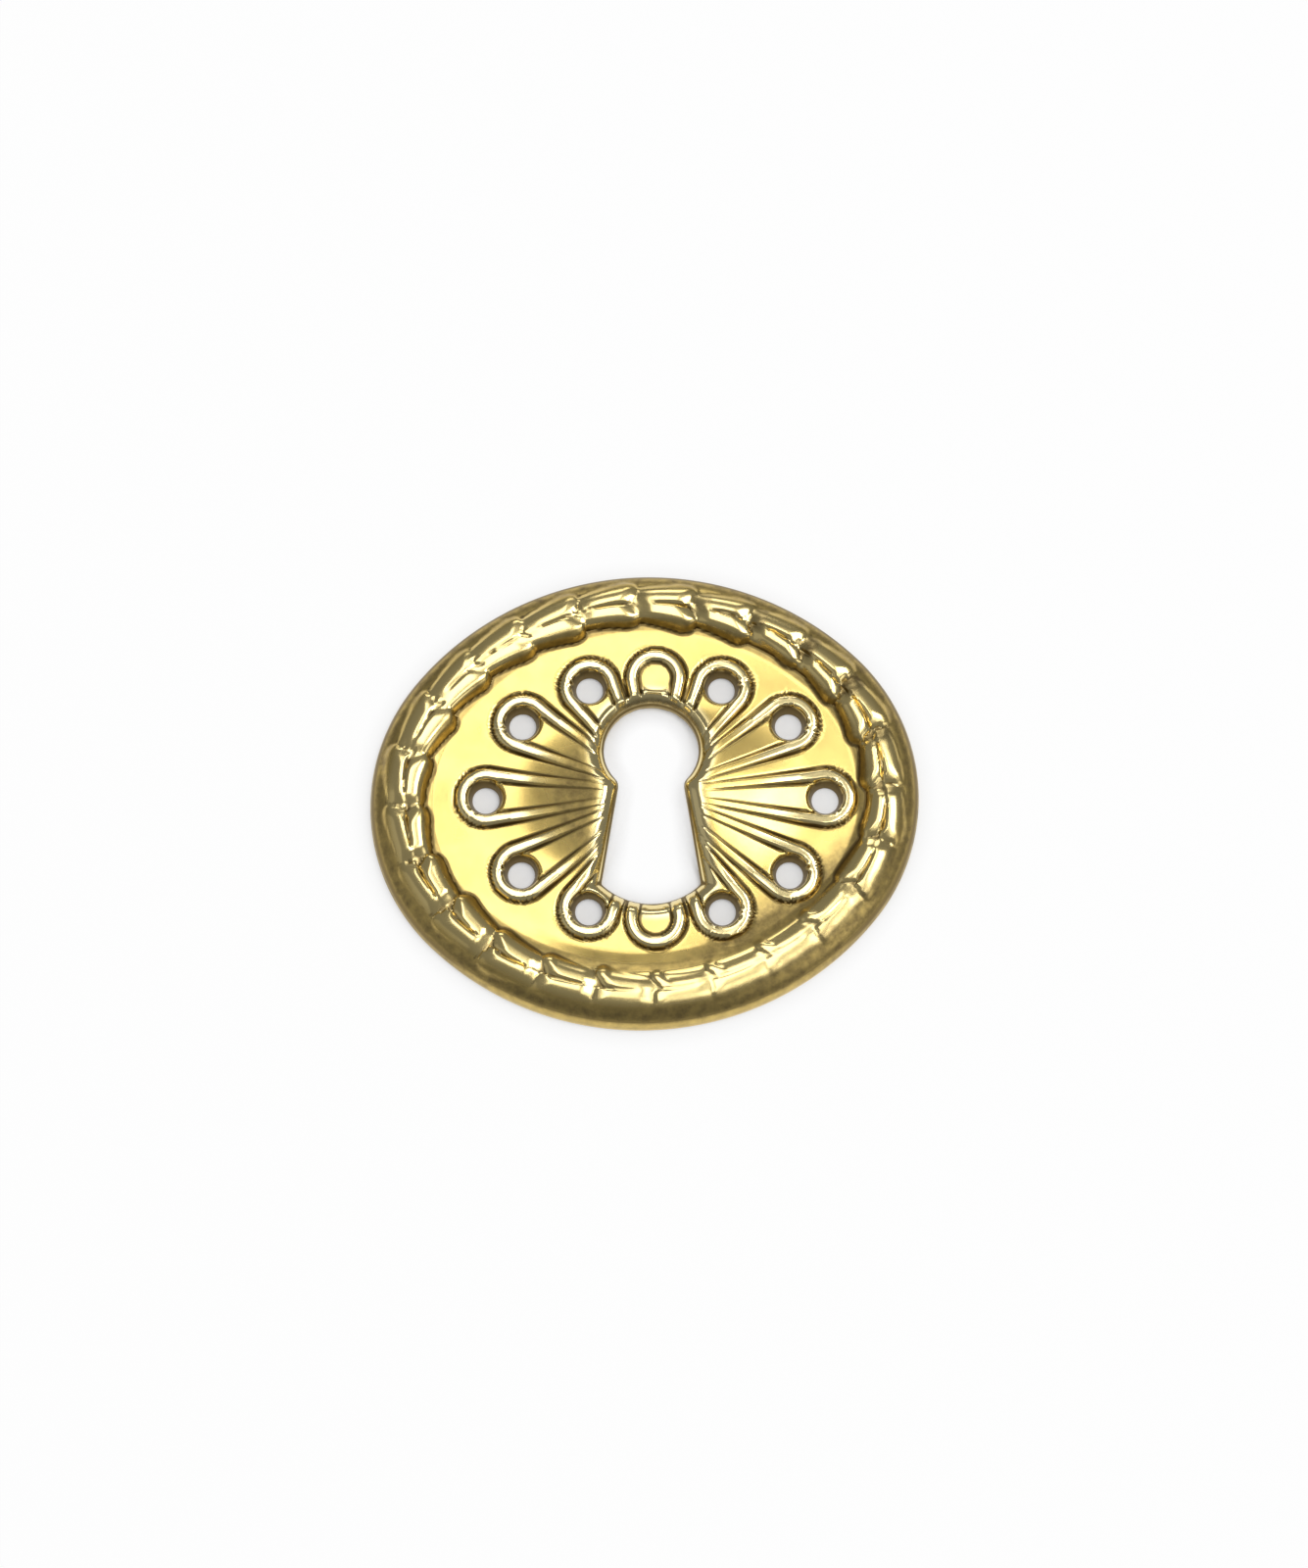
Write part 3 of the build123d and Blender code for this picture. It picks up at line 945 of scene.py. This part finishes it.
@dataclass(frozen=True)
class PressedBrass:
    """Pressed and polished yellow brass: a warm mirror on what is proud, painted paler there as a painted
    highlight, with olive tarnish and painted shade in hollows and painted shade on walls.
    """

    field: str = "#F1D47F"
    warm: str = "#EBCB76"
    # Paler brass of the polished parts, partly real polish and partly a painted highlight.
    worn: str = "#F5E1A4"
    # Olive tarnish of the hollows, and also the colour of the painted shade on walls, flanks and holes.
    tarnish_and_shade: str = "#82704A"
    # Brown grime of the deepest grooves, partly painted crevice shade.
    grime_and_crevice_shade: str = "#66532B"
    cloud: float = 4.0
    fleck: float = 0.7
    mark: float = 1.5
    peel: float = 0.5
    peel_deep: float = 0.02
    noise_range: Range = (0.3, 0.7)
    rough: Range = (0.21, 0.28)
    rough_worn: float = 0.14

    def material(self) -> bpy.types.Material:
        """Builds the brass.

        Returns:
            The material.
        """
        made = bpy.data.materials.new("polished_brass")
        made.use_nodes = True
        tree = made.node_tree
        shader = tree.nodes["Principled BSDF"]
        shader.inputs["Metallic"].default_value = 1.0
        place = node(tree, "ShaderNodeTexCoord").outputs["Object"]
        # The point values: hollows, painted shade, and polish with its painted highlight.
        hollow, painted_shade, polish_and_highlight = [
            node(tree, "ShaderNodeAttribute", {"attribute_name": name}).outputs["Fac"]
            for name in ("hollow", "painted_shade", "polish_and_highlight")
        ]
        # Broad clouds shift the yellow, as handling does.
        tone = mix(tree, noise(tree, place, self.cloud, 3.0), srgb(self.field), srgb(self.warm))
        # What hands reach is rubbed glossier and painted paler, partly real polish and partly a painted
        # highlight.
        pale = mix(tree, polish_and_highlight, tone, srgb(self.worn))
        # Tarnish and painted crevice shade darken the hollows, and painted shade, broken into small flecks,
        # darkens the walls, the dome's left flank and the other places that take it.
        sunk = remap(tree, hollow, (0.1, 0.7), (0.0, 0.9), "SMOOTHSTEP")
        flecks = noise(tree, place, self.fleck, 4.0, 0.65)
        shade_share = combine(tree, "MULTIPLY", remap(tree, flecks, self.noise_range, (0.55, 1.25)), painted_shade)
        dull = combine(tree, "MAXIMUM", sunk, shade_share)
        old = mix(tree, dull, pale, srgb(self.tarnish_and_shade))
        # Brown grime and painted crevice shade fill the deepest grooves, so the relief reads as drawn in
        # line.
        deep = remap(tree, hollow, (0.45, 1.0), (0.0, 0.7), "SMOOTHSTEP")
        tree.links.new(mix(tree, deep, old, srgb(self.grime_and_crevice_shade)), shader.inputs["Base Color"])
        # Wiping marks and finger marks make the gloss uneven, and the tarnish and the painted shade roughen
        # it.
        gloss = remap(tree, noise(tree, place, self.mark, 4.0), self.noise_range, self.rough)
        slick = node(tree, "ShaderNodeMix", {"data_type": "FLOAT"}, i0=polish_and_highlight, i2=gloss, i3=self.rough_worn)
        worn = combine(tree, "MULTIPLY_ADD", dull, 0.18, slick.outputs[0])
        tree.links.new(worn, shader.inputs["Roughness"])
        # The skin of a pressing is a fine orange peel, which breaks up its mirror.
        peel = noise(tree, place, self.peel, 2.0)
        bump = node(tree, "ShaderNodeBump", Strength=0.12, Distance=self.peel_deep * MM, Height=peel)
        tree.links.new(bump.outputs[0], shader.inputs["Normal"])
        return made


@dataclass(frozen=True)
class PaleFloor:
    """Matt white paper under the object, which keeps its shadow."""

    colour: str = "#FFFFFF"
    white: float = 0.96
    size: float = 1.6
    shade_reach: float = 1.5
    holes_to_edge: Range = (11 * MM, 15 * MM)

    def build(self) -> bpy.types.Object:
        """Lays the floor at the height that the object rests on.

        Returns:
            The floor.
        """
        h = self.size / 2
        mesh = bpy.data.meshes.new("floor")
        mesh.from_pydata([(-h, -h, 0), (h, -h, 0), (h, h, 0), (-h, h, 0)], [], [(0, 1, 2, 3)])
        mesh.materials.append(self.material())
        made = bpy.data.objects.new("floor", mesh)
        bpy.context.scene.collection.objects.link(made)
        return made

    def material(self) -> bpy.types.Material:
        """Builds the paper.

        Returns:
            The material.
        """
        paper = bpy.data.materials.new("matt_white_paper")
        paper.use_nodes = True
        tree = paper.node_tree
        shader, output = tree.nodes["Principled BSDF"], tree.nodes["Material Output"]
        shader.inputs["Base Color"].default_value = srgb(self.colour)
        shader.inputs["Roughness"].default_value = 0.9
        shader.inputs["Specular IOR Level"].default_value = 0.1
        # The eye, the metal and glass see a whiter paper than the one that lights the object.
        ray = node(tree, "ShaderNodeLightPath").outputs
        seen = combine(tree, "MAXIMUM", ray["Is Camera Ray"], ray["Is Glossy Ray"])
        seen = combine(tree, "MAXIMUM", seen, ray["Is Transmission Ray"])
        # Paper close under the plate or down a pin hole stays in shade, most in the holes.
        settings, reach = {"samples": 4}, self.shade_reach * MM
        sky = node(tree, "ShaderNodeAmbientOcclusion", settings, Distance=reach).outputs["AO"]
        place = node(tree, "ShaderNodeTexCoord").outputs["Object"]
        away = node(tree, "ShaderNodeVectorMath", {"operation": "LENGTH"}, i0=place).outputs["Value"]
        shade = combine(tree, "POWER", sky, remap(tree, away, self.holes_to_edge, (3.0, 0.8)))
        share = combine(tree, "MULTIPLY", seen, combine(tree, "MULTIPLY", shade, self.white))
        glow = node(tree, "ShaderNodeEmission", Color=srgb(self.colour), Strength=1.0)
        mixed = node(tree, "ShaderNodeMixShader", i0=share, i1=shader.outputs[0], i2=glow.outputs[0])
        tree.links.new(mixed.outputs[0], output.inputs["Surface"])
        return paper


@dataclass
class EscutcheonPlate:
    """The plate's mesh: one section carried round the keyhole, with a ring set in at each pin hole."""

    sheet: Sheet = Sheet()
    finish: PressedBrass = PressedBrass()
    columns: int = 620
    rim_w: float = 4.6
    pins_in: float = 1.55
    key_w: float = 0.4
    key_rows: int = 30
    petal_rows: int = 32
    rim_rows: int = 40
    crowding: float = 1.25
    back_key_rows: int = 8
    back_rim_rows: int = 10
    pin_half: float = 2.05
    pin_layers: int = 9
    pin_back_layers: int = 4
    sharp: float = np.radians(48)

    def plan(self, key_rows: int, rim_rows: int) -> Array:
        """Plan of the rows from the keyhole to the outline, each ray straight from the rosette's middle.

        The rows run in shares from the keyhole to a line inside the pin holes, on to the rim, and then by
        insets of the outline. They crowd at the keyhole and at the rim's inner side.

        Args:
            key_rows: Rows up to the pin holes.
            rim_rows: Rows across the rim.

        Returns:
            Points by row and column, with x and y in the last axis.
        """
        oval, rosette = self.sheet.oval, self.sheet.rosette
        ways = oval.spread(self.columns, self.sheet.wreath.crest_in)
        middle = np.array([rosette.middle, 0.0])
        ray = oval.point(ways, self.rim_w) - middle
        far = np.hypot(ray[:, 0], ray[:, 1])
        angle = np.arctan2(ray[:, 1], ray[:, 0])
        near = self.sheet.keyhole.reach(angle, rosette.middle)
        pins = oval_reach(rosette.half_x, rosette.half_y, angle)
        mid = np.maximum(pins - self.pins_in, near + self.key_w)
        key = np.linspace(0.0, 1.0, key_rows + 1)[:-1, None] ** self.crowding
        petal = np.linspace(0.0, 1.0, self.petal_rows + 1)[:-1, None]
        reach = np.concatenate([near + (mid - near) * key, mid + (far - mid) * petal])
        rays = middle + reach[..., None] * np.stack([np.cos(angle), np.sin(angle)], axis=-1)
        insets = self.rim_w * (1.0 - np.linspace(0.0, 1.0, rim_rows + 1)[:, None] ** self.crowding)
        return np.concatenate([rays, oval.point(ways[None, :], insets)])

    def blocks(self, plan: Array, first: int) -> list[tuple[Array, Array, tuple[float, float]]]:
        """Finds the rows and columns that each pin hole's ring takes the place of.

        Args:
            plan: The face's plan.
            first: Number of the first row past the keyhole rows.

        Returns:
            For each pin hole its rows, counted from first, its columns, and its middle.
        """
        found = []
        petal = plan[first : first + self.petal_rows + 1]
        for x, y in self.sheet.rosette.pins():
            gap = np.hypot(petal[..., 0] - x, petal[..., 1] - y)
            column = int(np.argmin(gap.min(axis=0)))
            rows = np.flatnonzero(gap[:, column] < self.pin_half)
            row = int(np.argmin(gap[:, column]))
            beside = np.roll(gap[row], self.columns // 2 - column) < self.pin_half
            turns = np.flatnonzero(beside) - self.columns // 2 + column
            found.append((rows, np.mod(turns, self.columns), (x, y)))
        return found

    @staticmethod
    def loop(numbers: Array) -> Array:
        """Numbers round the edge of a block, anticlockwise as seen from the face."""
        return np.concatenate([numbers[:-1, 0], numbers[-1, :-1], numbers[:0:-1, -1], numbers[0, :0:-1]])

    def ring(self, edge: Array, middle: tuple[float, float], layers: int, r: float) -> Array:
        """Plan of the rows from a block's edge to its pin hole, each point on its own ray to the middle.

        Args:
            edge: Points of the block's edge.
            middle: The pin hole's middle.
            layers: Rows inside the edge.
            r: The hole's radius.

        Returns:
            Points by layer and place round the hole.
        """
        ray = edge - np.array(middle)
        away = np.hypot(ray[:, 0], ray[:, 1])[:, None]
        share = (np.arange(1, layers + 1) / layers)[:, None, None] ** 0.85
        reach = away + (r - away) * share
        return np.array(middle) + ray / away * reach

    def build(self) -> bpy.types.Object:
        """Makes the plate: face, edge, back and keyhole wall as one closed ring of rows.

        Returns:
            The plate's object.
        """
        sheet, rosette, parts = self.sheet, self.sheet.rosette, MeshParts()
        face_plan = self.plan(self.key_rows, self.rim_rows)
        back_plan = self.plan(self.back_key_rows, self.back_rim_rows)[::-1]
        face_z = sheet.face(face_plan[..., 0], face_plan[..., 1])
        back_z = sheet.back(back_plan[..., 0], back_plan[..., 1])
        back_z[0] = 0.0
        face = np.concatenate([face_plan, face_z[..., None]], axis=-1)
        back = np.concatenate([back_plan, back_z[..., None]], axis=-1)
        edge = face[-1] + (back[0] - face[-1]) * np.array((0.35, 0.75))[:, None, None]
        wall = back[-1] + (face[0] - back[-1]) * np.array((0.3, 0.7))[:, None, None]
        numbers = parts.add(np.concatenate([face, edge, back, wall]))
        keep = np.ones(numbers.shape, dtype=bool)
        last_petal = len(face) + len(edge) + len(back) - 1 - self.back_key_rows
        for rows, columns, middle in self.blocks(face_plan, self.key_rows):
            face_rows, back_rows = rows + self.key_rows, last_petal - rows
            keep[np.ix_(face_rows[:-1], columns[:-1])] = False
            keep[np.ix_(back_rows[1:], columns[:-1])] = False
            loops = []
            for side_rows, layers, height, r in (
                (face_rows, self.pin_layers, sheet.face, rosette.pin_r),
                (back_rows, self.pin_back_layers, sheet.back, rosette.pin_back_r),
            ):
                outer = self.loop(numbers[np.ix_(side_rows, columns)])
                start = np.concatenate(parts.points)[outer][:, :2]
                plan = self.ring(start, middle, layers, r)
                z = height(plan[..., 0], plan[..., 1])
                inner = parts.add(np.concatenate([plan, z[..., None]], axis=-1))
                loops.append(np.concatenate([outer[None, :], inner]))
            for loop, flip in zip(loops, (False, True)):
                a, b = loop[:-1], loop[1:]
                a_next, b_next = np.roll(a, -1, axis=1), np.roll(b, -1, axis=1)
                parts.face(*((b, b_next, a_next, a) if flip else (a, a_next, b_next, b)))
            top, under = loops[0][-1], loops[1][-1]
            parts.face(top, np.roll(top, -1), np.roll(under, -1), under)
        down, right = np.roll(numbers, -1, axis=0), np.roll(numbers, -1, axis=1)
        cross = np.roll(down, -1, axis=1)
        parts.face(numbers[keep], down[keep], cross[keep], right[keep])
        return self.mesh(parts)

    def mesh(self, parts: MeshParts) -> bpy.types.Object:
        """Puts the gathered points and faces into a mesh, with its wear as point values.

        Args:
            parts: The points and faces.

        Returns:
            The object.
        """
        points, quads = np.concatenate(parts.points), np.concatenate(parts.quads)
        used = np.unique(quads)
        renumber = np.full(len(points), -1)
        renumber[used] = np.arange(len(used))
        points, quads = points[used], renumber[quads]
        mesh = bpy.data.meshes.new("pressed_plate")
        mesh.vertices.add(len(points))
        mesh.vertices.foreach_set("co", (points * MM).astype(np.float32).ravel())
        mesh.loops.add(quads.size)
        mesh.loops.foreach_set("vertex_index", quads.astype(np.int32).ravel())
        mesh.polygons.add(len(quads))
        mesh.polygons.foreach_set("loop_start", np.arange(0, quads.size, 4, dtype=np.int32))
        mesh.update(calc_edges=True)
        mesh.validate()
        mesh.polygons.foreach_set("use_smooth", np.ones(len(mesh.polygons), dtype=bool))
        mesh.set_sharp_from_angle(angle=self.sharp)
        for name, values in Wear(self.sheet).values(points, quads).items():
            mesh.attributes.new(name, "FLOAT", "POINT").data.foreach_set("value", values.astype(np.float32))
        made = bpy.data.objects.new("pressed_plate", mesh)
        bpy.context.scene.collection.objects.link(made)
        return made

    def dress(self, made: bpy.types.Object) -> None:
        """Gives the plate its brass and its place on the solid.

        Args:
            made: The plate's object.
        """
        made.data.materials.append(self.finish.material())
        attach(made, "root")
        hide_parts("escutcheon_plate")


@dataclass(frozen=True)
class Softbox:
    """A lamp that faces the object, by its place and span in the sky over it, in degrees off the zenith."""

    name: str
    at: Range
    span: Range
    radiance: float
    away: float = 0.5

    def build(self) -> bpy.types.Object:
        """Hangs the lamp.

        Returns:
            The lamp.
        """
        back = Vector((*[float(np.tan(np.radians(angle))) for angle in self.at], 1.0)).normalized()
        across = Vector((0.0, 1.0, 0.0)).cross(back).normalized()
        lamp = bpy.data.lights.new(self.name, "AREA")
        lamp.shape = "RECTANGLE"
        lamp.size, lamp.size_y = [2 * self.away * float(np.tan(np.radians(a) / 2)) for a in self.span]
        lamp.energy = self.radiance * np.pi * lamp.size * lamp.size_y
        made = bpy.data.objects.new(self.name, lamp)
        made.location = back * self.away
        made.rotation_mode = "QUATERNION"
        made.rotation_quaternion = Matrix((across, back.cross(across), back)).transposed().to_quaternion()
        made.visible_camera = False
        bpy.context.scene.collection.objects.link(made)
        return made


@dataclass(frozen=True)
class Studio:
    """Camera, lamps, floor and room. The frame's size and centre are in the photograph's pixels."""

    pixels_per_mm: float = 14.71
    width: int = 1335
    height: int = 1600
    centre: Range = (658.0, 817.0)
    tilt: float = 16.0
    away: float = 300.0
    aim_z: float = 0.2
    clip: Range = (0.01, 10.0)
    lamps: tuple[Softbox, ...] = (
        Softbox("panel", (-3.9, 16.5), (12.2, 37.0), 2.6),
        Softbox("panel_low", (8.0, 20.0), (16.0, 30.0), 0.32),
        Softbox("lamp_right", (25.5, 10.0), (23.0, 24.0), 5.0),
        Softbox("lamp_low", (15.0, -6.0), (20.0, 14.0), 1.7),
        Softbox("lamp_top", (0.0, 61.0), (22.0, 13.0), 2.2),
        Softbox("lamp_edge", (52.0, -36.0), (28.0, 24.0), 1.1),
        Softbox("fill_left", (-56.0, -25.0), (40.0, 50.0), 0.15),
    )
    walls: str = "#F4F6FA"
    dim: float = 0.235
    floor: PaleFloor = PaleFloor()

    def camera(self) -> bpy.types.Object:
        """Stands the camera a little to the keyhole's foot of straight above, framed as the photograph.

        Returns:
            The camera.
        """
        t = np.radians(self.tilt)
        back = Vector((0.0, -np.sin(t), np.cos(t)))
        right = (self.width / 2 - self.centre[0]) / self.pixels_per_mm
        up = (self.centre[1] - self.height / 2) / self.pixels_per_mm / np.cos(t)
        aim = Vector((right, up, self.aim_z)) * MM
        lens = bpy.data.cameras.new("camera")
        lens.lens = lens.sensor_width * self.away / (self.height / self.pixels_per_mm)
        lens.clip_start, lens.clip_end = self.clip
        made = bpy.data.objects.new("camera", lens)
        made.location = aim + back * self.away * MM
        made.rotation_mode = "QUATERNION"
        made.rotation_quaternion = back.to_track_quat("Z", "Y")
        bpy.context.scene.collection.objects.link(made)
        bpy.context.scene.camera = made
        return made

    def room(self) -> None:
        """Gives the room a dim even tone, which the walls of the relief mirror."""
        world = bpy.data.worlds.new("room")
        bpy.context.scene.world = world
        world.use_nodes = True
        sky = world.node_tree.nodes["Background"]
        sky.inputs["Color"].default_value = srgb(self.walls)
        sky.inputs["Strength"].default_value = self.dim

    def build(self) -> bpy.types.Object:
        """Sets up the camera, the room, the lamps and the floor.

        Returns:
            The floor.
        """
        self.camera()
        self.room()
        for lamp in self.lamps:
            lamp.build()
        bpy.context.scene.view_settings.view_transform = "Standard"
        return self.floor.build()


def main() -> None:
    """Builds the plate and the studio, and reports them."""
    logging.basicConfig(level=logging.INFO, format="%(name)s: %(message)s")
    plate = EscutcheonPlate()
    made = plate.build()
    plate.dress(made)
    floor = Studio().build()
    for piece in (made, floor):
        mesh = piece.data
        LOG.info("%s: %d points, %d faces", piece.name, len(mesh.vertices), len(mesh.polygons))


if __name__ == "__main__":
    main()
